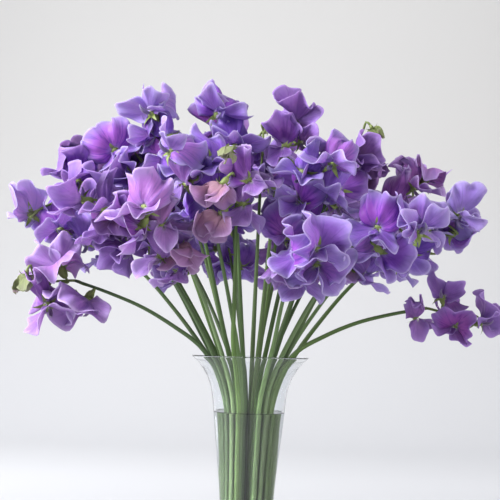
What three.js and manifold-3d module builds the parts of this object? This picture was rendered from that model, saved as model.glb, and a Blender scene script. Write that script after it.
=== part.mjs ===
// A bouquet of sweet pea flower stems standing in a flared clear glass vase with water.
// Millimetres, +Z up. The origin is the middle of the flat underside of the vase.
import * as THREE from 'three';
import Module from 'manifold-3d';

const wasm = await Module();
wasm.setup();
const { Manifold, Mesh } = wasm;

// Vase
const VASE_H = 230;            // height of the rim
const RIM_R = 52.5;            // outer radius at the rim
const FOOT_R = 35;             // outer radius of the flat foot
const WALL = 2.2;              // thickness of the glass wall
const CAVITY_Z = 26;           // where the inside of the vase begins, above the thick foot
const LATHE_SEGMENTS = 32;

// Water
const WATER_Z = 181;           // the water line
const GAP = 0.3;               // clearance between parts that touch

// Stems
const STEM_R = 1.85;           // radius of a flower stem
const STEM_SIDES = 5;
const STEM_STEPS = 11;
const STEM_FOOT_Z = CAVITY_Z + GAP;  // the cut ends stand on the bottom of the vase
const BUNDLE = [               // widest radius that the bundle of stems takes at a height
  [STEM_FOOT_Z, 15.5], [70, 16], [101, 16.6], [147, 17.8], [181, 20], [206, 26], [230, 38.5],
];
const BUNDLE_SPACING = 0.29;   // least distance between stems, as a share of the bundle's radius
const CLEAR_SPOT = { x: 0.04, y: -0.98, r: 0.42 };  // the stems leave this part of the mouth free
const TWIST = 0.22;            // turn of the bundle from the foot to the rim, radians

// Flower heads
const SPREAD_X = 152;          // half width of the ring of flower heads
const SPREAD_Y = 108;          // half depth of it
const RACHIS_R = 1.3;
const RACHIS_STEP = 10;        // along the flowering end, from one blossom to the next
const STALK_L = 20;            // from the stem to the middle of a blossom
const STALK_R = 0.95;
const CALYX_R = 2.6;           // the stalk widens to this under the petals
const STANDARD_W = 22;         // half width of the upright back petal
const STANDARD_H = 20;
const STANDARD_T = 2.8;        // how far it bulges back
const WINGS_W = 12;            // half width of the pair of front petals
const WINGS_H = 10;
const WINGS_T = 7;             // how far they come forward

// Each flower head: middle of the flowering end x, y, z, its number of blossoms, and how far
// it turns down at the tip.
const HEADS = [
  [-162, 2, 351, 6, 0.1], [-140, 16, 388, 6, 0], [-168, -36, 290, 4, 0.5],
  [-106, 8, 406, 6, 0], [-70, -20, 416, 6, 0], [-110, -74, 344, 6, 0.1],
  [-72, -96, 334, 6, 0.2], [-44, -86, 372, 6, 0], [-22, -14, 414, 6, 0],
  [22, -16, 407, 6, 0], [-16, -104, 370, 5, 0.1], [38, -108, 318, 5, 0.4],
  [44, -88, 368, 6, 0], [80, -14, 404, 6, 0], [122, 8, 384, 6, 0],
  [146, -28, 346, 6, 0.1], [90, -92, 328, 6, 0.2], [164, -40, 272, 4, 0.6],
  [-122, 64, 362, 5, 0.1], [-80, 98, 340, 5, 0.2], [-28, 110, 348, 6, 0.1],
  [32, 110, 340, 5, 0.2], [86, 92, 350, 6, 0.1], [134, 60, 350, 6, 0.2],
  [-72, 52, 392, 5, 0], [-26, 64, 396, 5, 0], [30, 60, 392, 5, 0],
  [78, 52, 386, 5, 0], [6, 26, 420, 5, 0],
];

const COLOURS = {
  vase: { color: 0xd5e2e8, roughness: 0.05, metalness: 0 },
  water: { color: 0xc4d6d6, roughness: 0.04, metalness: 0 },
  stem: { color: 0x5c7a45, roughness: 0.6, metalness: 0 },
  petal: { color: 0x8a64c8, roughness: 0.55, metalness: 0 },
  dark: { color: 0x5f3aa6, roughness: 0.55, metalness: 0 },
  mauve: { color: 0xa678b4, roughness: 0.6, metalness: 0 },
};

const vec = (x, y, z) => new THREE.Vector3(x, y, z);

// A closed solid from a three.js geometry.
function solid(geometry) {
  const g = geometry.index ? geometry.toNonIndexed() : geometry;
  const points = g.attributes.position;
  const found = new Map();
  const vertices = [];
  const triangles = [];
  for (let i = 0; i < points.count; i += 1) {
    const key = [points.getX(i), points.getY(i), points.getZ(i)].map((v) => Math.round(v * 1e4)).join();
    if (!found.has(key)) {
      found.set(key, vertices.length / 3);
      vertices.push(points.getX(i), points.getY(i), points.getZ(i));
    }
    triangles.push(found.get(key));
  }
  const kept = [];
  for (let i = 0; i < triangles.length; i += 3) {
    const [a, b, c] = triangles.slice(i, i + 3);
    if (a !== b && b !== c && a !== c) {
      kept.push(a, b, c);
    }
  }
  return new Manifold(new Mesh({
    numProp: 3, vertProperties: new Float32Array(vertices), triVerts: new Uint32Array(kept),
  }));
}

// The three.js mesh of a solid.
function shown(name, body, look) {
  const data = body.getMesh();
  const geometry = new THREE.BufferGeometry();
  geometry.setAttribute('position', new THREE.BufferAttribute(new Float32Array(data.vertProperties), 3));
  geometry.setIndex(new THREE.BufferAttribute(new Uint32Array(data.triVerts), 1));
  geometry.computeVertexNormals();
  const mesh = new THREE.Mesh(geometry, new THREE.MeshStandardMaterial(look));
  mesh.name = name;
  return mesh;
}

// A round rod of the given radius along a smooth line through the points.
function rod(points, radius, sides, steps) {
  const ring = [];
  for (let i = 0; i < sides; i += 1) {
    const turn = (2 * Math.PI * i) / sides;
    ring.push(new THREE.Vector2(radius * Math.cos(turn), radius * Math.sin(turn)));
  }
  const path = new THREE.CatmullRomCurve3(points, false, 'centripetal');
  return solid(new THREE.ExtrudeGeometry(new THREE.Shape(ring), { steps, extrudePath: path }));
}

// A solid turned from half a section given as [radius, height] pairs.
function turned(section) {
  const outline = section.map(([r, z]) => new THREE.Vector2(r, z));
  const geometry = new THREE.LatheGeometry(outline, LATHE_SEGMENTS);
  geometry.rotateX(Math.PI / 2);
  return solid(geometry);
}

// The outer line of the vase from the foot to the rim, and the line of the inside.
const OUTSIDE = [
  [FOOT_R - 1.5, 0], [FOOT_R, 1.5], [FOOT_R, 4], [29.5, 8.5], [24.5, 16], [22, 28], [21.4, 50],
  [22.0, 78], [23.3, 101], [25.3, 124], [27.9, 147], [31.6, 181], [32.6, 192], [34.6, 203],
  [38, 212], [43, 220], [RIM_R - 1.2, VASE_H - 0.8], [RIM_R - 0.5, VASE_H],
];
const WALLED = OUTSIDE.slice(6, 16);
const INSIDE = [
  [17.7, CAVITY_Z], [19, CAVITY_Z + 1.5], [19.4, CAVITY_Z + 5],
  ...WALLED.map(([r, z]) => [r - WALL, z]), [RIM_R - 3.4, VASE_H - 0.6], [RIM_R - 2.6, VASE_H],
];

// Where each stem stands in the round bundle, as shares of its radius: in the order of the
// flower heads above, pushed apart until no two touch and the clear spot is free.
function bundle() {
  const spots = HEADS.map(([x, y]) => {
    const spot = new THREE.Vector2(x / SPREAD_X, y / SPREAD_Y);
    return spot.setLength(Math.min(1, spot.length() ** 0.9));
  });
  for (let round = 0; round < 400; round += 1) {
    spots.forEach((a, i) => {
      spots.slice(i + 1).forEach((b) => {
        const apart = b.clone().sub(a);
        const short = BUNDLE_SPACING - apart.length();
        if (short > 0) {
          apart.setLength(short / 2);
          a.sub(apart);
          b.add(apart);
        }
      });
      const free = a.clone().sub(new THREE.Vector2(CLEAR_SPOT.x, CLEAR_SPOT.y));
      if (free.length() < CLEAR_SPOT.r) {
        a.add(free.clone().setLength((CLEAR_SPOT.r - free.length()) * 0.6));
      }
      if (a.length() > 1) {
        a.setLength(1);
      }
    });
  }
  return spots;
}

// The line of one stem, up to where its flowers begin, and its flowering end.
function stemLine([x, y, z, count, droop], spot) {
  const low = BUNDLE.map(([height, radius]) => {
    const turn = TWIST * ((height - VASE_H) / VASE_H);
    const place = spot.clone().rotateAround(new THREE.Vector2(0, 0), turn).multiplyScalar(radius);
    return vec(place.x, place.y, height);
  });
  const rim = low[low.length - 1];
  const middle = vec(x, y, z);
  const climb = middle.clone().sub(rim).normalize();
  const out = vec(x, y, 0).normalize();
  const lean = climb.clone().addScaledVector(out, 0.25 * Math.min(1, Math.hypot(x, y) / 100));
  lean.z -= droop;
  lean.normalize();
  const half = RACHIS_STEP * (count - 1) / 2;
  const start = middle.clone().addScaledVector(lean, -half);
  const between = rim.clone().lerp(start, 0.5);
  between.z += 0.07 * Math.hypot(x - rim.x, y - rim.y);
  return { line: [...low, between, start], start, middle, lean, half };
}

// The blossoms of one flower head: where each one's stalk leaves the stem, its middle, the way
// it faces and its upright.
function blossomsOf(head, index) {
  const { middle, lean, half } = head;
  const face = vec(middle.x, middle.y * 1.3, (middle.z - 300) * 1.1).normalize();
  const side = lean.clone().cross(face).normalize();
  face.copy(side).cross(lean).normalize();
  const count = HEADS[index][3];
  return Array.from({ length: count }, (_, k) => {
    const way = (k + index) % 2 ? 1 : -1;
    const last = k === count - 1;
    const from = middle.clone().addScaledVector(lean, RACHIS_STEP * k - half);
    const stalk = vec(0, 0, 0)
      .addScaledVector(face, 0.62)
      .addScaledVector(side, last ? 0.1 * way : 0.78 * way)
      .addScaledVector(lean, last ? 0.75 : 0.2)
      .normalize();
    const at = from.clone().addScaledVector(stalk, STALK_L);
    const [swing, nod, roll, away] = [5.1, 3.7, 1.9, 2.7]
      .map((a, n) => Math.sin(a * index + 2.3 * (n + 1) * k + n));
    const normal = vec(0, 0, -0.2)
      .addScaledVector(face, 0.45 + 0.6 * away)
      .addScaledVector(side, (last ? 0.1 : 0.75) * way + 0.45 * swing)
      .addScaledVector(lean, (last ? 0.7 : 0) + 0.4 * nod)
      .normalize();
    const up = vec(0, 0, 1).addScaledVector(lean, 0.5).addScaledVector(stalk, 0.5);
    up.addScaledVector(side, 0.6 * roll);
    up.addScaledVector(normal, -up.dot(normal)).normalize();
    return { from, at, home: at.clone(), normal, up, index };
  });
}

// Blossoms that stand too close share the room between them.
function makeRoom(blossoms) {
  for (let round = 0; round < 30; round += 1) {
    blossoms.forEach((a, i) => {
      blossoms.slice(i + 1).forEach((b) => {
        const apart = b.at.clone().sub(a.at);
        const short = (a.index === b.index ? 27 : 33) - apart.length();
        if (short > 0) {
          apart.setLength(short * 0.25);
          a.at.sub(apart);
          b.at.add(apart);
        }
      });
      const stray = a.at.clone().sub(a.home);
      if (stray.length() > 12) {
        a.at.copy(a.home).add(stray.setLength(12));
      }
    });
  }
}

// One blossom as a single closed shell that looks along +Z with +Y up: the wide waved standard
// behind, and the pair of wings as a smaller fold that comes forward from its lower half.
function blossomShell() {
  const geometry = new THREE.SphereGeometry(1, 8, 3);
  geometry.rotateX(Math.PI / 2);
  const p = geometry.attributes.position;
  for (let i = 0; i < p.count; i += 1) {
    const edge = Math.hypot(p.getX(i), p.getY(i));
    const turn = Math.atan2(p.getY(i), p.getX(i));
    const pole = edge < 0.1;
    const [x, y] = pole ? [0, 0] : [Math.cos(turn), Math.sin(turn)];
    if (p.getZ(i) > 0) {
      p.setXYZ(i, x * WINGS_W, y * WINGS_H - 5, pole ? WINGS_T : WINGS_T - 3 - 2 * y);
    } else {
      p.setXYZ(i, x * STANDARD_W, y * STANDARD_H + 4, pole ? -STANDARD_T : 2.2 * Math.sin(3 * turn));
    }
  }
  return solid(geometry);
}

// A solid moved so that its X, Y and Z lie along right, up and normal, at a point.
function placed(body, right, up, normal, at) {
  const m = new THREE.Matrix4().makeBasis(right, up, normal).setPosition(at);
  return body.transform(m.elements);
}

const BLOSSOM = blossomShell();

// The petals of one blossom where it grows.
function petals(b) {
  const right = b.up.clone().cross(b.normal).normalize();
  return placed(BLOSSOM, right, b.up, b.normal, b.at);
}

// Blossoms that would meet end on either side of the plane halfway between them.
function partBlossoms(blossoms) {
  const bodies = blossoms.map(petals);
  const cuts = blossoms.map(() => []);
  blossoms.forEach((a, i) => {
    blossoms.slice(i + 1).forEach((b, k) => {
      const j = i + 1 + k;
      const way = a.at.clone().sub(b.at);
      const far = way.length();
      if (far < 2.4 * STANDARD_W && bodies[i].minGap(bodies[j], 1) < 2 * GAP) {
        way.normalize();
        const half = (way.dot(a.at) + way.dot(b.at)) / 2;
        cuts[i].push([way.toArray(), half + 0.2]);
        cuts[j].push([way.clone().negate().toArray(), 0.2 - half]);
      }
    });
  });
  return bodies.map((body, i) => cuts[i].reduce((rest, cut) => rest.trimByPlane(...cut), body));
}

// One whole flower head: its flowering end, the stalks that widen to the calyces, the petals.
function headBody(head, blossoms) {
  const tip = head.middle.clone().addScaledVector(head.lean, head.half);
  const pieces = [rod([head.start, head.middle, tip], RACHIS_R, 4, 2)];
  blossoms.forEach((b) => {
    const base = b.at.clone().addScaledVector(b.up, -4);
    const stalk = Manifold.cylinder(base.distanceTo(b.from), STALK_R, CALYX_R, 3);
    const z = base.clone().sub(b.from).normalize();
    const x = vec(0, 0, 1).cross(z).normalize();
    pieces.push(placed(stalk, x, z.clone().cross(x), z, b.from), b.body);
  });
  return Manifold.union(pieces);
}

function largest(body) {
  return body.decompose().reduce((a, b) => (b.volume() > a.volume() ? b : a));
}

const group = new THREE.Group();

// The vase
const vase = turned([[0, 0], ...OUTSIDE, ...INSIDE.slice().reverse(), [0, CAVITY_Z]]);
group.add(shown('vase', vase, COLOURS.vase));

// The stems
const spots = bundle();
const heads = HEADS.map((head, i) => stemLine(head, spots[i]));
const stems = heads.map(({ line }) => rod(line, STEM_R, STEM_SIDES, STEM_STEPS));
const sleeves = heads.map(({ line, start, lean }) => {
  const below = line[0].clone().setZ(STEM_FOOT_Z - GAP - 0.1);
  const past = start.clone().addScaledVector(lean, GAP + 0.1);
  return rod([below, ...line.slice(1, -1), past], STEM_R + GAP + 0.1, STEM_SIDES, STEM_STEPS);
});

// The water, with a bore around every stem
const wet = INSIDE.filter(([, z]) => z > CAVITY_Z + 0.1 && z <= WATER_Z);
const waterLine = [
  [0, CAVITY_Z + GAP], [INSIDE[0][0] - GAP - 0.15, CAVITY_Z + GAP],
  ...wet.map(([r, z]) => [r - GAP - 0.15, z]), [0, WATER_Z],
];
const water = turned(waterLine).subtract(Manifold.union(sleeves));
group.add(shown('water', water, COLOURS.water));

stems.forEach((body, i) => {
  group.add(shown(`stem_${String(i + 1).padStart(2, '0')}`, body, COLOURS.stem));
});

// The flower heads, each cut clear of the stems and of the other heads
const flowers = heads.map((head, i) => blossomsOf(head, i));
const every = flowers.flat();
makeRoom(every);
partBlossoms(every).forEach((body, i) => {
  every[i].body = body;
});
const whole = heads.map((head, i) => headBody(head, flowers[i]));
const shades = [COLOURS.petal, COLOURS.dark, COLOURS.mauve, COLOURS.petal];
whole.forEach((body, i) => {
  const clear = largest(body.subtract(Manifold.union(sleeves)));
  group.add(shown(`flowers_${String(i + 1).padStart(2, '0')}`, clear, shades[i % shades.length]));
});

export default group;
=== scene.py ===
import bpy
import math
import numpy as np
from mathutils import Matrix, Vector


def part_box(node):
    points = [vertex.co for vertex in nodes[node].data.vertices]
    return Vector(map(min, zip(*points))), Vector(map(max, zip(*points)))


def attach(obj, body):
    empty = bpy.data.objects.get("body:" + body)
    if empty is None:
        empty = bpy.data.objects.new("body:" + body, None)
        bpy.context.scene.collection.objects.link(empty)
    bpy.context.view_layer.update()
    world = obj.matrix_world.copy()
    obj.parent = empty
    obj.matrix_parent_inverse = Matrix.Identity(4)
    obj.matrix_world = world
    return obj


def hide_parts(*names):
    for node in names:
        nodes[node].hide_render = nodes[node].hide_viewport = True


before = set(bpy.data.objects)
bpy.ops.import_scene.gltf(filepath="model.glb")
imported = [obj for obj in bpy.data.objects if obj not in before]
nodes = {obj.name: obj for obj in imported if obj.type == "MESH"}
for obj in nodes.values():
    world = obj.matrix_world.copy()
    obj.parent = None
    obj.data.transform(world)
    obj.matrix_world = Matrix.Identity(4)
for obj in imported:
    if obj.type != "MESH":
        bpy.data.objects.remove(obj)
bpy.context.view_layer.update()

# --- The place it stands in -------------------------------------------------------------------
# A pale matt sweep of floor and wall, lit like a bright room with one wide window to the left.
# The paper is painted greyer where the vase stands, as painted shade, and lighter behind it; up the
# wall it is painted darker and warmer, as painted shade of the room's light falling off. The eye is
# just above the rim of the vase, looks slightly up and leans a little.
rim_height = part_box("vase")[1].z
EYE_PLACE = (-0.003, -0.8, rim_height + 0.010)
LOOKS_UP = math.radians(96.1)
LEANS = math.radians(1.6)
eye = bpy.data.cameras.new("eye")
eye.sensor_width = 36
eye.angle = math.radians(31.4)
viewpoint = bpy.data.objects.new("viewpoint", eye)
bpy.context.scene.collection.objects.link(viewpoint)
viewpoint.matrix_world = (
    Matrix.Translation(EYE_PLACE) @ Matrix.Rotation(LOOKS_UP, 4, "X") @ Matrix.Rotation(LEANS, 4, "Z"))
bpy.context.scene.camera = viewpoint
bpy.context.scene.view_settings.view_transform = "Standard"

WALL_AWAY = 2.2
WALL_HEIGHT = 4.5
bpy.ops.object.select_all(action="DESELECT")
bpy.ops.mesh.primitive_plane_add(size=7, location=(0, 0, 0))
sweep = bpy.context.object
sweep.name = "sweep"
bpy.ops.object.mode_set(mode="EDIT")
bpy.ops.mesh.select_mode(type="EDGE")
bpy.ops.mesh.select_all(action="DESELECT")
bpy.ops.object.mode_set(mode="OBJECT")
for edge in sweep.data.edges:
    edge.select = all(sweep.data.vertices[i].co.y > WALL_AWAY for i in edge.vertices)
bpy.ops.object.mode_set(mode="EDIT")
bpy.ops.mesh.extrude_region_move(TRANSFORM_OT_translate={"value": (0, 0, WALL_HEIGHT)})
bpy.ops.object.mode_set(mode="OBJECT")
for vertex in sweep.data.vertices:
    vertex.co.y = min(vertex.co.y, WALL_AWAY)
turn = sweep.modifiers.new("turn", "BEVEL")
turn.width = 0.9
turn.segments = 16
bpy.ops.object.modifier_apply(modifier="turn")
bpy.ops.object.shade_smooth()


def feed(node, inputs):
    """Gives each named input of a shader node a value, or a link from another node's socket."""
    for name, given in inputs.items():
        if isinstance(given, bpy.types.NodeSocket):
            node.id_data.links.new(given, node.inputs[name])
        else:
            node.inputs[name].default_value = given


def add_node(tree, kind, inputs=(), **settings):
    node = tree.nodes.new(kind)
    for name, value in settings.items():
        setattr(node, name, value)
    feed(node, dict(inputs))
    return node


def mixed(tree, a, b, factor):
    """Colour a where the factor is 0 and colour b where it is 1."""
    mix = add_node(tree, "ShaderNodeMix", {"A": a, "B": b, "Factor": factor}, data_type="RGBA")
    return mix.outputs["Result"]


def ranged(tree, value, low, high, to_low=0.0, to_high=1.0, way="SMOOTHSTEP"):
    """A value from low to high brought to the range from to_low to to_high, and kept in it."""
    node = add_node(tree, "ShaderNodeMapRange", interpolation_type=way, inputs={
        "Value": value, "From Min": low, "From Max": high, "To Min": to_low, "To Max": to_high})
    return node.outputs["Result"]


def main_shader(material):
    return material.node_tree.nodes["Principled BSDF"]


def new_material(name, inputs):
    material = bpy.data.materials.new(name)
    material.use_nodes = True
    feed(main_shader(material), inputs)
    return material


paper = new_material("backdrop_paper", {"Roughness": 0.9})
tree = paper.node_tree
place = add_node(tree, "ShaderNodeTexCoord").outputs["Object"]
place = add_node(tree, "ShaderNodeSeparateXYZ", {"Vector": place}).outputs
up_the_wall = ranged(tree, place["Z"], 0.0, 0.9, way="LINEAR")
away = ranged(tree, place["Y"], 0.15, 0.9)
# Painted shade: lighter and cooler on the floor, darker and warmer up the wall, greyer in front.
paper_with_painted_shade = mixed(tree, (0.765, 0.775, 0.80, 1), (0.72, 0.715, 0.70, 1), up_the_wall)
paper_with_painted_shade = mixed(tree, (0.50, 0.51, 0.53, 1), paper_with_painted_shade, away)
feed(main_shader(paper), {"Base Color": paper_with_painted_shade})
sweep.data.materials.append(paper)

# The room looks bright in the glass and through it, and gives matt things a softer light.
world = bpy.data.worlds.new("room")
world.use_nodes = True
tree = world.node_tree
rays = add_node(tree, "ShaderNodeLightPath").outputs
shiny = add_node(tree, "ShaderNodeMath", operation="MAXIMUM", inputs={
    0: rays["Is Glossy Ray"], 1: rays["Is Transmission Ray"]})
strength = ranged(tree, shiny.outputs["Value"], 0.0, 1.0, 0.30, 0.85, "LINEAR")
feed(tree.nodes["Background"], {"Color": (0.93, 0.95, 1.0, 1), "Strength": strength})
bpy.context.scene.world = world


def window(name, place, aim, size, power, colour):
    """A rectangle of light at a place, turned to shine at the aim."""
    light = bpy.data.lights.new(name, "AREA")
    light.shape = "RECTANGLE"
    light.size = size[0]
    light.size_y = size[1]
    light.energy = power
    light.color = colour
    lamp = bpy.data.objects.new(name, light)
    way = Vector(aim) - Vector(place)
    lamp.matrix_world = Matrix.Translation(place) @ way.to_track_quat("-Z", "Y").to_matrix().to_4x4()
    bpy.context.scene.collection.objects.link(lamp)


window("window_left", (-1.35, -0.65, 1.05), (0, 0, 0.38), (0.9, 0.9), 64, (0.98, 0.98, 1.0))
window("fill_right", (1.7, -1.0, 0.8), (0, 0, 0.35), (1.4, 1.2), 22, (1.0, 0.96, 0.95))
window("backdrop_wash", (0, 0.9, 2.6), (0, 2.1, 0.5), (3.0, 0.8), 13, (1.0, 0.99, 0.98))

# --- The vase ---------------------------------------------------------------------------------
# Hand-blown clear glass: a heavy plain foot, a slim waist and a thin lip that flares like a
# trumpet. It is drawn up ring by ring from a disc, outside first, then down the inside. So much
# light passes through it and the water that neither throws a shadow on the stems.
MM = 0.001
VASE_OUTSIDE = [
    (33.5, 0), (34.6, 0.5), (35, 1.5), (35, 4), (33.2, 6.2), (29.5, 8.5), (26.6, 12), (24.5, 16),
    (22.8, 22), (22, 28), (21.5, 38), (21.4, 50), (22.0, 78), (23.3, 101), (25.3, 124),
    (27.9, 147), (30.0, 165), (31.6, 181), (32.6, 192), (34.6, 203), (38.0, 212), (43.0, 220),
    (47.2, 225), (51.0, 228.6), (51.9, 229.2), (52.1, 229.7), (51.7, 230.1),
]
VASE_INSIDE = [
    (50.9, 230.1), (50.3, 229.5), (46.4, 224.8), (42.1, 219.8), (37.0, 212.3), (33.5, 203.3),
    (31.2, 192), (29.7, 181), (27.8, 165), (25.7, 147), (23.1, 124), (21.1, 101), (19.8, 78),
    (19.2, 50), (19.3, 38), (19.4, 31), (19.0, 27.5), (17.7, 26),
]


def drawn_rings(name, rings, segments=96):
    """A closed body drawn from ring to ring, each a radius and a height in millimetres."""
    bpy.ops.object.select_all(action="DESELECT")
    r, z = rings[0]
    bpy.ops.mesh.primitive_circle_add(
        vertices=segments, radius=r * MM, fill_type="TRIFAN", location=(0, 0, z * MM))
    drawn = bpy.context.object
    drawn.name = name
    bpy.ops.object.transform_apply(location=True)
    bpy.ops.object.mode_set(mode="EDIT")
    bpy.ops.mesh.select_mode(type="EDGE")
    bpy.ops.mesh.select_all(action="SELECT")
    bpy.ops.mesh.region_to_loop()
    for r_next, z_next in rings[1:]:
        bpy.ops.mesh.extrude_edges_move(TRANSFORM_OT_translate={"value": (0, 0, (z_next - z) * MM)})
        bpy.ops.transform.resize(
            value=(r_next / r, r_next / r, 1), center_override=(0, 0, z_next * MM))
        r, z = r_next, z_next
    bpy.ops.mesh.edge_face_add()
    bpy.ops.mesh.poke()
    bpy.ops.mesh.select_all(action="SELECT")
    bpy.ops.mesh.normals_make_consistent(inside=False)
    bpy.ops.object.mode_set(mode="OBJECT")
    bpy.ops.object.shade_smooth_by_angle(angle=math.radians(50))
    return drawn


vase = drawn_rings("vase_glass", VASE_OUTSIDE + VASE_INSIDE)
vase.data.materials.append(new_material("clear_glass", {
    "Transmission Weight": 1.0,
    "IOR": 1.36,
    "Metallic": 0.0,
    "Base Color": (0.955, 0.972, 0.985, 1),
    "Roughness": 0.02,
}))
vase.visible_shadow = False
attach(vase, "root")
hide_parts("vase")

# --- The water --------------------------------------------------------------------------------
# Clean tap water that fills the vase to about a finger below the flare. It wets the glass, so it
# reaches a hair into the wall, and climbs it in a small rim at the surface.
WATER = [
    (17.9, 25.9), (19.15, 27.4), (19.6, 31), (19.5, 38), (19.4, 50), (20.0, 78), (21.3, 101),
    (23.3, 124), (25.9, 147), (28.0, 165), (29.6, 178), (30.0, 181.6), (29.2, 181.1), (27.8, 180.9),
]
water = drawn_rings("water_body", WATER)
water.data.materials.append(new_material("clear_water", {
    "Transmission Weight": 1.0,
    "IOR": 1.333,
    "Metallic": 0.0,
    "Base Color": (0.99, 1.0, 0.995, 1),
    "Roughness": 0.0,
}))
water.visible_shadow = False
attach(water, "root")
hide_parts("water")

# --- The stems --------------------------------------------------------------------------------
# Long bare flower stems, slightly ribbed and waxy and thicker at the cut foot, with painted shade
# that darkens them below the water line. Each follows the middle of its own solid, and bends
# outwards above the rim.
STEM_COUNT = sum(1 for name in nodes if name.startswith("stem_"))
STEM_POINTS = 60
STEM_SHARES = (0, 0.45, 0.6, 1)
STEM_RADII = (2.1, 2.1, 2.05, 1.3)
ONE_RING = 0.0046  # wider than a solid stem, and much less than the way to its next ring of points


def middle_line(node):
    """The middles of the rings of points along a stem's solid, from the foot upwards."""
    points = np.unique(np.array([v.co for v in node.data.vertices]).round(7), axis=0)
    middles = []
    while len(points):
        near = np.linalg.norm(points - points[0], axis=1) < ONE_RING
        middles.append(points[near].mean(0))
        points = points[~near]
    line = [middles.pop(min(range(len(middles)), key=lambda i: middles[i][2]))]
    while middles:
        away = [np.linalg.norm(middle - line[-1]) for middle in middles]
        line.append(middles.pop(away.index(min(away))))
    return np.array(line)


def smooth_line(points, count):
    """Evenly spaced points on a smooth line through the given ones."""
    padded = np.vstack([2 * points[0] - points[1], points, 2 * points[-1] - points[-2]])
    fine = []
    for i in range(1, len(padded) - 2):
        p0, p1, p2, p3 = padded[i - 1:i + 3]
        for t in np.linspace(0, 1, 12, endpoint=False):
            fine.append(0.5 * (2 * p1 + (p2 - p0) * t + (2 * p0 - 5 * p1 + 4 * p2 - p3) * t ** 2
                               + (3 * p1 - p0 - 3 * p2 + p3) * t ** 3))
    fine = np.array(fine + [points[-1]])
    way = np.concatenate([[0], np.cumsum(np.linalg.norm(np.diff(fine, axis=0), axis=1))])
    even = np.linspace(0, way[-1], count)
    return np.stack([np.interp(even, way, fine[:, k]) for k in range(3)], axis=1)


class Shape:
    """The points and faces of a piece, with a place on the surface and four marks at each point.

    A mark is a number from 0 to 1 that a material reads to make one stem or petal unlike the next.
    """

    def __init__(self):
        self.points = []
        self.faces = []
        self.places = []
        self.marks = []
        self.size = 0

    def sheet(self, grid, u, v, mark, around=False):
        """Adds a grid of points; around closes it across its second way."""
        rows, columns = grid.shape[:2]
        self.points.append(grid.reshape(-1, 3))
        self.places.append(np.stack(np.broadcast_arrays(u, v), -1).reshape(-1, 2))
        self.marks.append(np.tile(np.array(mark, float), (rows * columns, 1)))
        row = np.arange(rows - 1)[:, None] * columns
        here = np.arange(columns if around else columns - 1)[None, :]
        beside = (here + 1) % columns
        quads = (row + here, row + beside, row + columns + beside, row + columns + here)
        self.faces.append(np.stack(quads, -1).reshape(-1, 4) + self.size)
        self.size += rows * columns

    def cap(self, ring, middle, place, mark, flip=False):
        """Closes a ring of point numbers with a fan."""
        self.points.append(np.array([middle]))
        self.places.append(np.array([place]))
        self.marks.append(np.array([mark], float))
        ring = list(ring)
        for a, b in zip(ring, ring[1:] + ring[:1]):
            side = [b, a] if flip else [a, b]
            self.faces.append(np.array([side + [self.size, self.size]]))
        self.size += 1

    def built(self, name, material):
        """The piece as an object. A face that names a point twice is a triangle."""
        faces = [list(dict.fromkeys(face)) for block in self.faces for face in block.tolist()]
        mesh = bpy.data.meshes.new(name)
        mesh.from_pydata(np.concatenate(self.points).tolist(), [], faces)
        corner = np.empty(len(mesh.loops), np.int32)
        mesh.loops.foreach_get("vertex_index", corner)
        places = np.concatenate(self.places)[corner]
        marks = np.concatenate(self.marks)
        mesh.uv_layers.new(name="surface").data.foreach_set("uv", places.ravel())
        mesh.attributes.new("marks", "FLOAT_COLOR", "POINT").data.foreach_set("color", marks.ravel())
        mesh.materials.append(material)
        piece = bpy.data.objects.new(name, mesh)
        bpy.context.scene.collection.objects.link(piece)
        mesh.shade_smooth()
        return piece


def frames_along(line):
    """For each point of a line: the way on, and two ways square to it that don't spin."""
    ways = np.gradient(line, axis=0)
    ways /= np.linalg.norm(ways, axis=1)[:, None]
    side = np.cross(ways[0], (0.31, 0.87, 0.38))  # any way that no line starts along
    sides = []
    for way in ways:
        side = side - way * side.dot(way)
        side /= np.linalg.norm(side)
        sides.append(side)
    return ways, np.array(sides), np.cross(ways, np.array(sides))


def tube(shape, line, radii, sides, mark, ribs=0.0):
    """Adds a closed round tube along a line. Four ribs stand out by a share of its radius."""
    ways, across, over = frames_along(line)
    turn = np.arange(sides) * 2 * math.pi / sides
    reach = np.asarray(radii)[:, None] * (1 + ribs * np.cos(turn * 4))[None, :]
    ring = (np.cos(turn)[None, :, None] * across[:, None]
            + np.sin(turn)[None, :, None] * over[:, None])
    first = shape.size
    along = np.linspace(0, 1, len(line))[:, None]
    grid = line[:, None] + reach[..., None] * ring
    shape.sheet(grid, (turn / (2 * math.pi))[None, :], along, mark, around=True)
    last = shape.size - sides
    shape.cap(range(first, first + sides), line[0], (0, 0), mark, flip=True)
    shape.cap(range(last, last + sides), line[-1] + ways[-1] * radii[-1] * 0.4, (0, 1), mark)


# A stem's first three marks are how yellow, how pale and how shaded its green is.
stem_skin = new_material("stem_skin", {"Roughness": 0.5, "Specular IOR Level": 0.4})
tree = stem_skin.node_tree
surface = add_node(tree, "ShaderNodeUVMap", uv_map="surface")
stretch = add_node(tree, "ShaderNodeMapping", {"Vector": surface.outputs["UV"], "Scale": (9, 7, 1)})
streaks = add_node(tree, "ShaderNodeTexNoise", {
    "Vector": stretch.outputs["Vector"], "Scale": 1.0, "Detail": 4})
shades = add_node(tree, "ShaderNodeValToRGB", {"Fac": streaks.outputs["Fac"]})
shades.color_ramp.elements[0].position = 0.25
shades.color_ramp.elements[0].color = (0.032, 0.074, 0.013, 1)
shades.color_ramp.elements[1].position = 0.75
shades.color_ramp.elements[1].color = (0.125, 0.235, 0.054, 1)
marks = add_node(tree, "ShaderNodeAttribute", attribute_name="marks")
mark = add_node(tree, "ShaderNodeSeparateColor", {"Color": marks.outputs["Color"]}).outputs
green = mixed(tree, shades.outputs["Color"], (0.27, 0.38, 0.20, 1), mark["Green"])
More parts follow.
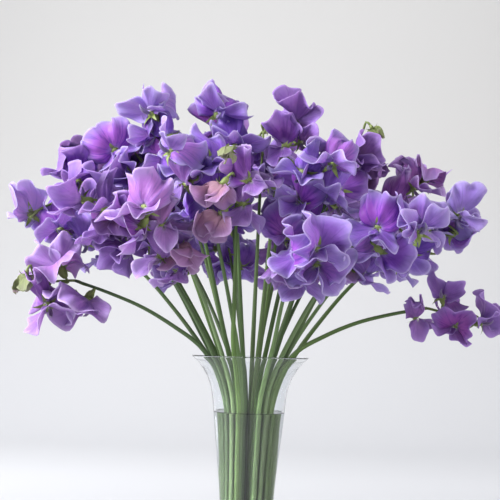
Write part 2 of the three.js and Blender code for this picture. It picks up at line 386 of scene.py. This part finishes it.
green = mixed(tree, green, (0.25, 0.30, 0.085, 1), mark["Red"])
green = mixed(tree, green, (0.020, 0.046, 0.009, 1), mark["Blue"])
# Painted shade: the green is darkened below the water line, as the glass and water throw no shadow.
water_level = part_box("water")[1].z
place = add_node(tree, "ShaderNodeTexCoord").outputs["Object"]
height = add_node(tree, "ShaderNodeSeparateXYZ", {"Vector": place}).outputs["Z"]
painted_shade_below_water = ranged(tree, height, water_level - 0.004, water_level + 0.005, 0.62, 1.0, "LINEAR")
green_with_painted_water_shade = add_node(tree, "ShaderNodeVectorMath", {0: green, "Scale": painted_shade_below_water}, operation="SCALE")
relief = add_node(tree, "ShaderNodeBump", {
    "Height": streaks.outputs["Fac"], "Strength": 0.25, "Distance": 0.0004})
feed(main_shader(stem_skin), {
    "Base Color": green_with_painted_water_shade.outputs["Vector"], "Normal": relief.outputs["Normal"]})

chance = np.random.default_rng(7)
stem_ends = []
for number in range(1, STEM_COUNT + 1):
    line = smooth_line(middle_line(nodes[f"stem_{number:02d}"]), STEM_POINTS)
    stem_ends.append((line[-1], line[-1] - line[-3]))
    radii = np.interp(np.linspace(0, 1, STEM_POINTS), STEM_SHARES, STEM_RADII) * MM
    mark = (0.2 * chance.random(), 0.6 * chance.random() ** 2, 0.8 * chance.random(), 1)
    stem = Shape()
    tube(stem, line, radii, 12, mark, ribs=0.05)
    piece = stem.built(f"stem_{number:02d}_skin", stem_skin)
    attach(piece, "root")
    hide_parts(f"stem_{number:02d}")

# --- The flower heads: where each blossom grows -----------------------------------------------
# Four to six blossoms stand along the last few centimetres of each stem, left and right in turn
# on short stalks, and look outwards from the middle of the bouquet.
HEADS = [  # the middle of each head, in millimetres, and how many blossoms it has
    (-162, 2, 351, 6), (-140, 16, 388, 6), (-168, -36, 290, 4),
    (-106, 8, 406, 6), (-70, -20, 416, 6), (-110, -74, 344, 6),
    (-72, -96, 334, 6), (-44, -86, 372, 6), (-22, -14, 414, 6),
    (22, -16, 407, 6), (-16, -104, 370, 5), (38, -108, 318, 5),
    (44, -88, 368, 6), (80, -14, 404, 6), (122, 8, 384, 6),
    (146, -28, 346, 6), (90, -92, 328, 6), (164, -40, 272, 4),
    (-122, 64, 362, 5), (-80, 98, 340, 5), (-28, 110, 348, 6),
    (32, 110, 340, 5), (86, 92, 350, 6), (134, 60, 350, 6),
    (-72, 52, 392, 5), (-26, 64, 396, 5), (30, 60, 392, 5),
    (78, 52, 386, 5), (6, 26, 420, 5),
]
BLOSSOM_STEP = 10
STALK = 20
NEAR_OWN_HEAD = 27
NEAR_OTHER_HEAD = 33
FAR_FROM_HOME = 12
ROUNDS_OF_PUSHING = 30
WAVES = (5.1, 3.7, 1.9, 2.7)  # how fast blossoms change the way they turn, from head to head


def unit(v):
    v = np.asarray(v, float)
    return v / np.linalg.norm(v)


def square_to(v, facing):
    """The way nearest to v that is square to the way faced."""
    return unit(v - facing * v.dot(facing))


class Blossom:
    """Where one blossom leaves its stem, its middle, and the ways it faces and stands."""

    def __init__(self, head, start, at, facing, up):
        self.head = head
        self.start = start
        self.at = at
        self.home = at.copy()
        self.facing = facing
        self.up = up

    def base(self, size):
        """Where its petals meet, below and behind its middle."""
        return self.at - self.up * 11 * size - self.facing * 2


blossoms = []
spines = []
for index, (x, y, z, count) in enumerate(HEADS):
    middle = np.array([x, y, z], float)
    end = stem_ends[index][0] / MM
    lean = unit(middle - end)
    face = unit((x, y * 1.3, (z - 300) * 1.1))
    side = unit(np.cross(lean, face))
    face = np.cross(side, lean)
    half = BLOSSOM_STEP * (count - 1) / 2
    spines.append((middle, lean, half))
    for k in range(count):
        way = 1 if (k + index) % 2 else -1
        last = k == count - 1
        start = middle + lean * (BLOSSOM_STEP * k - half)
        aside, ahead = (0.1, 0.75) if last else (0.78, 0.2)
        stalk = unit(0.62 * face + aside * way * side + ahead * lean)
        swing, nod, roll, away = (
            math.sin(wave * index + 2.3 * (n + 1) * k + n) for n, wave in enumerate(WAVES))
        aside, ahead = (0.1, 0.7) if last else (0.75, 0)
        facing = np.array([0, 0, -0.2]) + (0.45 + 0.6 * away) * face
        facing = unit(facing + (aside * way + 0.45 * swing) * side + (ahead + 0.4 * nod) * lean)
        up = np.array([0, 0, 1.0]) + 0.5 * lean + 0.5 * stalk + 0.6 * roll * side
        up = square_to(up, facing)
        blossoms.append(Blossom(index, start, start + stalk * STALK, facing, up))

# Blossoms that stand too near push one another apart, and none goes far from where it grows.
for _ in range(ROUNDS_OF_PUSHING):
    for i, a in enumerate(blossoms):
        for b in blossoms[i + 1:]:
            apart = b.at - a.at
            far = np.linalg.norm(apart)
            short = (NEAR_OWN_HEAD if a.head == b.head else NEAR_OTHER_HEAD) - far
            if short > 0:
                apart *= short * 0.25 / far
                a.at -= apart
                b.at += apart
        stray = a.at - a.home
        if np.linalg.norm(stray) > FAR_FROM_HOME:
            a.at = a.home + unit(stray) * FAR_FROM_HOME

# --- The petals -------------------------------------------------------------------------------
# A blossom has one wide waved standard behind, two wings that come forward under it, and a small
# pale keel between them. Each is a thin sheet grown from one point, with a ruffled free edge. An
# outline says how far a petal reaches, in millimetres, at each turn away from its middle.
STANDARD_TURN = np.radians([0, 9, 28, 48, 68, 88, 104, 120])
STANDARD_REACH = [28.5, 32, 33.5, 31, 27.5, 22.5, 16.5, 9]
WING_TURN = np.radians([-45, -25, 0, 30, 60, 90, 115])
WING_REACH = [8, 14, 20, 23, 22.5, 18, 9]
KEEL = [(0, -0.8, 1), (0, -2.6, 4), (0, -3.4, 8), (0, -2.4, 11.5), (0, -0.6, 13)]
KEEL_RADII = [0.8, 1.4, 1.6, 1.6, 1.3, 0.8, 0.3]
WHOLE_WAVE = 6.28


def turned_about(v, axis, angle):
    """Points turned about a line through zero; the angle may change from point to point."""
    axis = unit(axis)
    cosine = np.cos(angle)[..., None]
    sine = np.sin(angle)[..., None]
    return v * cosine + np.cross(axis, v) * sine + axis * (v @ axis)[..., None] * (1 - cosine)


def eased(v, low, high):
    t = np.clip((v - low) / (high - low), 0, 1)
    return t * t * (3 - 2 * t)


def smooth_reach(turn, turns, reaches):
    """How far a petal reaches each way, on a smooth outline through the given turns."""
    radian = 20  # millimetres of outline to a radian, which draws it about to scale
    outline = smooth_line(np.stack([turns * radian, reaches, turns * 0], 1), 90)
    return np.interp(turn * radian, outline[:, 0], outline[:, 1])


def standard_petal(shape, habit, mark, rng, columns=61, rows=12):
    """The back petal. habit: how it folds along the middle, leans back, curls and frills."""
    fold, lean_back, curl, frill = habit
    turn = np.linspace(-1, 1, columns)[None, :] * STANDARD_TURN[-1]
    r = np.linspace(0.05, 1, rows)[:, None] ** 0.8
    phase = rng.uniform(0, WHOLE_WAVE, 12)
    uneven = 1 + 0.06 * np.sin(2.3 * turn + phase[0]) + 0.035 * np.sin(6.5 * turn + phase[1])
    uneven = uneven + 0.015 * np.sin(15 * turn + phase[2])
    reach = smooth_reach(np.abs(turn), STANDARD_TURN, STANDARD_REACH) * uneven
    hem = eased(r, 0.66, 1.0)
    rolled = frill * (np.sin(3.1 * turn + phase[3]) + 0.7 * np.sin(8.3 * turn + phase[4])) * hem
    out = reach * r - 1.5 * rolled ** 2
    x = out * np.sin(turn) * rng.uniform(0.9, 1.04)
    y = out * np.cos(turn)

    # Waves, the shorter the nearer to the free edge, then shallow dimples and a middle crease.
    waves = 4.6 * np.sin(5.2 * turn + phase[5]) * r ** 2
    waves = waves + 3.2 * np.sin(10.3 * turn + phase[6]) * r ** 2.6
    waves = waves + 0.9 * np.sin(15.0 * turn + phase[7]) * r ** 4
    z = frill * waves + 3.2 * rolled
    z = z + 1.9 * np.sin(0.17 * x + 0.08 * y + phase[8]) * r + 1.6 * np.sin(0.17 * y + phase[9]) * r
    z = z + 1.1 * np.sin(5.5 * turn + phase[10]) * r * (1 - 0.3 * r)
    z = z - 2.8 * np.exp(-(x / 1.8) ** 2) * r * (1 - 0.4 * r)

    # It leans back, twists a little, folds along the middle and curls at each side.
    sheet = np.stack([x, y, z], -1)
    sheet = turned_about(sheet, (1, 0, 0), -eased(np.hypot(x, y), 5, 34) * lean_back)
    sheet = turned_about(sheet, (0, 1, 0), rng.uniform(-0.6, 0.6) * eased(y, 5, 34))
    side_curl = eased(np.abs(x), 9, 24) * curl * rng.uniform(0.3, 1.0, 2)[(turn > 0).astype(int)]
    angle = eased(np.abs(x), 0.5, 7) * fold - side_curl * (1 if fold < 0.5 else -0.4)
    sheet = turned_about(sheet, (0, 1, 0), np.where(x > 0, -angle, angle))
    shape.sheet(sheet, 0.5 + turn / (2 * STANDARD_TURN[-1]), r, mark)


def wing_petal(shape, way, spread, mark, rng, columns=31, rows=8):
    """One of the two front petals. They meet in a ridge over the keel and slope down outwards."""
    turn = np.linspace(WING_TURN[0], WING_TURN[-1], columns)[None, :]
    r = np.linspace(0.05, 1, rows)[:, None] ** 0.85
    phase = rng.uniform(0, WHOLE_WAVE, 6)
    uneven = 1 + 0.07 * np.sin(3 * turn + phase[0]) + 0.03 * np.sin(9 * turn + phase[5])
    reach = smooth_reach(turn, WING_TURN, WING_REACH) * uneven
    along = reach * r * np.cos(turn)
    over = reach * r * np.sin(turn)
    lift = 3.6 * np.sin(3.4 * turn + phase[1]) * r ** 2
    lift = lift + 2.6 * np.sin(7.2 * turn + phase[2]) * r ** 2.6
    lift = lift + 0.7 * np.sin(12 * turn + phase[3]) * r ** 4
    droop = 5.0 * (along / 21) ** 2 + 5.0 * (over / 20) ** 2 * rng.uniform(0.3, 1.4)
    forward = unit((0.22 * way, 0.05 + rng.uniform(-0.15, 0.25), 1))
    rise = -0.75 + 0.85 * spread + rng.uniform(-0.15, 0.15)
    outward = unit((way * (0.35 + 0.65 * spread), rise, 0.12))
    above = unit(np.cross(forward, outward)) * -way
    sheet = along[..., None] * forward + over[..., None] * outward + (lift - droop)[..., None] * above
    sheet = sheet + np.array([way * 0.6, 1.5, 1.5])
    shape.sheet(sheet, 0.5 + turn / 4, r, mark)


def keel_petal(shape, mark):
    tube(shape, smooth_line(np.array(KEEL), len(KEEL_RADII)), KEEL_RADII, 6, mark)


def grown(blossom_shape, blossom, size, target):
    """Puts a blossom that was shaped at zero, in millimetres, in its place on the stem."""
    right = np.cross(blossom.up, blossom.facing)
    turn = np.stack([right, blossom.up, blossom.facing])
    for block in blossom_shape.points:
        target.points.append(((block * size) @ turn + blossom.base(size)) * MM)
    target.places += blossom_shape.places
    target.marks += blossom_shape.marks
    target.faces += [face + target.size for face in blossom_shape.faces]
    target.size += blossom_shape.size


COLOURS = ("Deep", "Middle", "Edge", "Rosy", "Faded")


def times(tree, a, b):
    product = add_node(tree, "ShaderNodeMath", {0: a, 1: b}, operation="MULTIPLY")
    return product.outputs["Value"]


def petal_colour_group():
    """Veined petal colour: pale at the base, deep in the middle, light along the free edge.

    A petal's four marks are how rosy, how faded, how green and how light it is. How light is partly a
    random tone and partly painted light: heads out at the sides are painted lighter, the middle ones
    darker as painted shade.
    """
    group = bpy.data.node_groups.new("petal_colour", "ShaderNodeTree")
    for name in COLOURS:
        group.interface.new_socket(name=name, in_out="INPUT", socket_type="NodeSocketColor")
    group.interface.new_socket(name="Colour", in_out="OUTPUT", socket_type="NodeSocketColor")
    for name in ("Roughness", "Height"):
        group.interface.new_socket(name=name, in_out="OUTPUT", socket_type="NodeSocketFloat")
    given = add_node(group, "NodeGroupInput").outputs
    surface = add_node(group, "ShaderNodeUVMap", uv_map="surface").outputs["UV"]
    to_edge = add_node(group, "ShaderNodeSeparateXYZ", {"Vector": surface}).outputs["Y"]
    marks = add_node(group, "ShaderNodeAttribute", attribute_name="marks").outputs
    mark = add_node(group, "ShaderNodeSeparateColor", {"Color": marks["Color"]}).outputs
    place = add_node(group, "ShaderNodeTexCoord").outputs["Object"]
    mottle = add_node(group, "ShaderNodeTexNoise", {"Vector": place, "Scale": 55, "Detail": 3})
    lines = add_node(group, "ShaderNodeMapping", {"Vector": surface, "Scale": (34, 1.3, 1)})
    veins = add_node(group, "ShaderNodeTexNoise", {
        "Vector": lines.outputs["Vector"], "Scale": 1.0, "Detail": 5, "Distortion": 0.6})
    veins = veins.outputs["Fac"]

    body = ranged(group, mottle.outputs["Fac"], 0.35, 0.72)
    body = mixed(group, given["Middle"], given["Deep"], body)
    rosy = times(group, mark["Red"], ranged(group, to_edge, 0.45, 1.0, 1.0, 0.35))
    body = mixed(group, body, given["Rosy"], rosy)
    body = mixed(group, body, given["Deep"], times(group, ranged(group, veins, 0.5, 0.62), 0.62))
    body = mixed(group, body, given["Edge"], ranged(group, to_edge, 0.6, 1.0, 0.0, 0.38))
    body = mixed(group, body, given["Edge"], ranged(group, to_edge, 0.93, 1.0, 0.0, 0.5))
    body = mixed(group, given["Edge"], body, ranged(group, to_edge, 0.06, 0.32, 0.5, 1.0))
    body = mixed(group, (0.50, 0.54, 0.36, 1), body, ranged(group, to_edge, 0.05, 0.18))
    # Painted light: the fourth mark lightens the petal towards the Edge colour.
    body = mixed(group, body, given["Edge"], times(group, marks["Alpha"], 0.38))
    faded = times(group, mark["Green"], ranged(group, to_edge, 0.3, 1.0, 1.0, 0.5))
    body = mixed(group, body, given["Faded"], faded)
    body = mixed(group, body, (0.20, 0.25, 0.065, 1), mark["Blue"])
    feed(add_node(group, "NodeGroupOutput"), {
        "Colour": body, "Roughness": ranged(group, veins, 0.3, 0.7, 0.42, 0.62), "Height": veins})
    return group


petal_colour = petal_colour_group()


def petal_material(name, *colours):
    """Thin, soft, slightly see-through petal skin in five colours, in the order of COLOURS."""
    material = new_material(name, {
        "Specular IOR Level": 0.2,
        "Sheen Weight": 0.07,
        "Subsurface Weight": 0.32,
        "Subsurface Scale": 0.003,
        "Subsurface Radius": (1.0, 0.7, 1.0),
    })
    given = {socket: (*colour, 1) for socket, colour in zip(COLOURS, colours)}
    skin = add_node(material.node_tree, "ShaderNodeGroup", given, node_tree=petal_colour).outputs
    bump = add_node(material.node_tree, "ShaderNodeBump", {
        "Height": skin["Height"], "Strength": 0.5, "Distance": 0.0011})
    feed(main_shader(material), {
        "Base Color": skin["Colour"], "Roughness": skin["Roughness"],
        "Normal": bump.outputs["Normal"]})
    return material


PETALS = {
    "petal_violet": petal_material("violet_petal", (0.066, 0.009, 0.27), (0.185, 0.060, 0.51),
                                   (0.45, 0.40, 0.70), (0.33, 0.070, 0.42), (0.32, 0.16, 0.20)),
    "petal_dark": petal_material("deep_violet_petal", (0.052, 0.007, 0.18), (0.130, 0.034, 0.32),
                                 (0.40, 0.27, 0.64), (0.25, 0.048, 0.32), (0.26, 0.12, 0.16)),
    "petal_mauve": petal_material("mauve_petal", (0.10, 0.019, 0.26), (0.235, 0.080, 0.43),
                                  (0.50, 0.39, 0.69), (0.35, 0.085, 0.40), (0.35, 0.18, 0.21)),
}
SLOTS = ["petal_violet", "petal_dark", "petal_mauve", "petal_violet"]  # for each four heads

# --- The calyces and stalks, and each head put together ---------------------------------------
# Each blossom sits in a small green cup with five pointed tips, on a thin curved stalk from the
# flowering end of the stem. All petals of a head are one piece, and its green parts are another.
CUP = [(-8.2, 1.0), (-7.5, 2.1), (-5.2, 3.1), (-1.8, 3.5), (0.4, 3.8)]  # rings: forward, radius
CUP_SIDES = 10
END_POINTS = 14
END_RADII = (1.25, 0.95)
STALK_POINTS = 10
STALK_RADIUS = 1.05
PETAL_THICKNESS = 0.28
HEAD_SIZES = {1: 1.1, 2: 1.2, 8: 1.15, 17: 0.82}  # heads with larger or smaller blossoms
BUDDED_HEAD = 2  # the low one at the left, which always ends in a bud
FORWARD = -100
STAGES = ("open", "half", "bud", "old")


def calyx(shape, mark, rng):
    """A cup that opens forwards around the foot of the petals, with five bent-back tips."""
    around = np.arange(CUP_SIDES) * 2 * math.pi / CUP_SIDES
    rings = []
    for along, r in CUP:
        level = np.full(CUP_SIDES, along)
        rings.append(np.stack([r * np.cos(around), r * np.sin(around) + 0.15 * along, level], -1))
    first = shape.size
    last = first + CUP_SIDES * (len(CUP) - 1)
    upwards = np.linspace(0, 0.6, len(CUP))[:, None]
    round_it = (around / (2 * math.pi))[None, :]
    shape.sheet(np.array(rings), round_it, upwards, mark, around=True)
    shape.cap(range(first, first + CUP_SIDES), rings[0].mean(0), (0, 0), mark, flip=True)
    shape.cap(range(last, last + CUP_SIDES), (0, 0, 1.6), (0, 0.6), mark)
    for k in range(5):
        turn = 2 * math.pi * (k + 0.25) / 5
        out = np.array([math.cos(turn), math.sin(turn), 0])
        across = np.array([-math.sin(turn), math.cos(turn), 0])
        back = rng.uniform(0.5, 1.3)
        tip = []
        for t in np.linspace(0, 1, 5):
            spread = across * (2.0 * (1 - t) ** 0.8 + 0.12)
            middle = out * (3.4 + 9 * t) + np.array([0, 0, -0.6 + 3.4 * t - 6.5 * back * t ** 2])
            tip.append([middle - spread, middle + out * 0.5 * (1 - t), middle + spread])
        across_tip = np.array([0.0, 0.5, 1.0])[None, :]
        shape.sheet(np.array(tip), across_tip, np.linspace(0.6, 1, 5)[:, None], mark)


def chances(index, tip, y):
    """How likely a blossom is to be at each of the STAGES.

    Buds are likeliest at the tip, and old flowers in the heads that reach furthest forward.
    """
    if tip and index == BUDDED_HEAD:
        return 0, 0, 1, 0
    if tip:
        return 0.4, 0.36, 0.24, 0
    if y < FORWARD:
        return 0.36, 0.26, 0.04, 0.34
    return 0.56, 0.3, 0.04, 0.1


def habits(rng):
    """One blossom at each of the STAGES, drawn by chance.

    It is given by how its standard folds, leans back, curls and frills, then by how far its wings
    spread, its size and how faded it is.
    """
    return {
        "open": (
            (rng.uniform(-0.6, 0.3), rng.uniform(0.1, 0.9), 1.1, rng.uniform(0.85, 1.25)),
            rng.uniform(0.5, 1.0), rng.uniform(0.94, 1.07), 0.0),
        "half": (
            (rng.choice([-1.0, 0.75]) + rng.uniform(-0.2, 0.2), rng.uniform(-0.1, 0.5), 0.8, 1.0),
            rng.uniform(0.2, 0.7), rng.uniform(0.9, 1.02), rng.uniform(0.0, 0.15)),
        "bud": (
            (rng.uniform(1.2, 1.4), rng.uniform(-1.2, -0.9), 0.2, 0.2),
            0.0, rng.uniform(0.42, 0.54), rng.uniform(0.1, 0.35)),
        "old": (
            (rng.uniform(0.8, 1.15), rng.uniform(-1.1, -0.7), 0.3, 0.5),
            0.0, rng.uniform(0.78, 0.92), rng.uniform(0.4, 0.9)),
    }


for index, (middle, lean, half) in enumerate(spines):
    rng = np.random.default_rng(100 + index)
    petals = Shape()
    green = Shape()
    end, way_on = stem_ends[index]
    line = np.array([end - unit(way_on) * 6 * MM, end, middle * MM, (middle + lean * half) * MM])
    radii = np.linspace(*END_RADII, END_POINTS) * MM
    tube(green, smooth_line(line, END_POINTS), radii, 8, (0.5, 0, 0, 1))
    mine = [blossom for blossom in blossoms if blossom.head == index]
    for blossom in mine:
        right = np.cross(blossom.up, blossom.facing)
        blossom.facing = unit(
            blossom.facing + right * rng.uniform(-0.5, 0.5) - blossom.up * rng.uniform(-0.15, 0.5))
        blossom.up = square_to(blossom.up, blossom.facing)
        stage = str(rng.choice(STAGES, p=chances(index, blossom is mine[-1], middle[1])))
        habit, spread, size, faded = habits(rng)[stage]
        size *= HEAD_SIZES.get(index, 1.0)
        greenish = rng.uniform(0.85, 1.0) if stage == "bud" else 0
        if stage in ("bud", "old"):  # these nod
            outward = blossom.facing
            blossom.facing = unit(0.6 * outward - np.array([0, 0, rng.uniform(0.7, 1.3)]))
            blossom.up = square_to(outward, blossom.facing)
        # A random tone, with painted light on heads at the sides and painted shade in the middle.
        light = rng.uniform(0, 1) ** 1.5 * (0.4 + 0.6 * min(1, abs(middle[0]) / 120))
        if stage == "bud":
            light = 0.0
        rosy = rng.uniform(0, 0.95) ** 1.4

        flower = Shape()
        standard_petal(flower, habit, (rosy, faded, greenish, light), rng)
        for way in (-1, 1):
            # The wings take the same painted light, from a lighter start.
            wing_mark = (rosy * 0.4, faded, greenish, 0.4 + 0.6 * light)
            wing_petal(flower, way, spread, wing_mark, rng)
        keel_petal(flower, (0.3, faded, 0.3, 0.8))
        if stage == "bud":  # its petals are still wrapped, so it is narrow
            flower.points = [block * (0.5, 0.85, 1.0) for block in flower.points]
        grown(flower, blossom, size, petals)
        cup = Shape()
        calyx(cup, (0.75, 0, 0, 1), rng)
        grown(cup, blossom, size, green)

        foot = blossom.base(size) + (blossom.facing * CUP[0][0] + blossom.up * -1.2) * size
        knee = foot - blossom.facing * 4 - blossom.up * 2
        halfway = 0.5 * (blossom.start + knee) + lean * 1.5
        stalk = smooth_line(np.array([blossom.start, halfway, knee, foot]) * MM, STALK_POINTS)
        tube(green, stalk, np.full(STALK_POINTS, STALK_RADIUS * MM), 6, (0.6, 0, 0, 1))

    slot = SLOTS[index % 4]
    piece = petals.built(f"petals_{index + 1:02d}", PETALS[slot])
    bpy.context.view_layer.objects.active = piece
    thin = piece.modifiers.new("thin", "SOLIDIFY")
    thin.thickness = PETAL_THICKNESS * MM
    thin.offset = 0
    with bpy.context.temp_override(object=piece, active_object=piece):
        bpy.ops.object.modifier_apply(modifier="thin")
    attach(piece, "root")
    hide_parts(f"flowers_{index + 1:02d}")
    stalks = green.built(f"stalks_{index + 1:02d}", stem_skin)
    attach(stalks, "root")
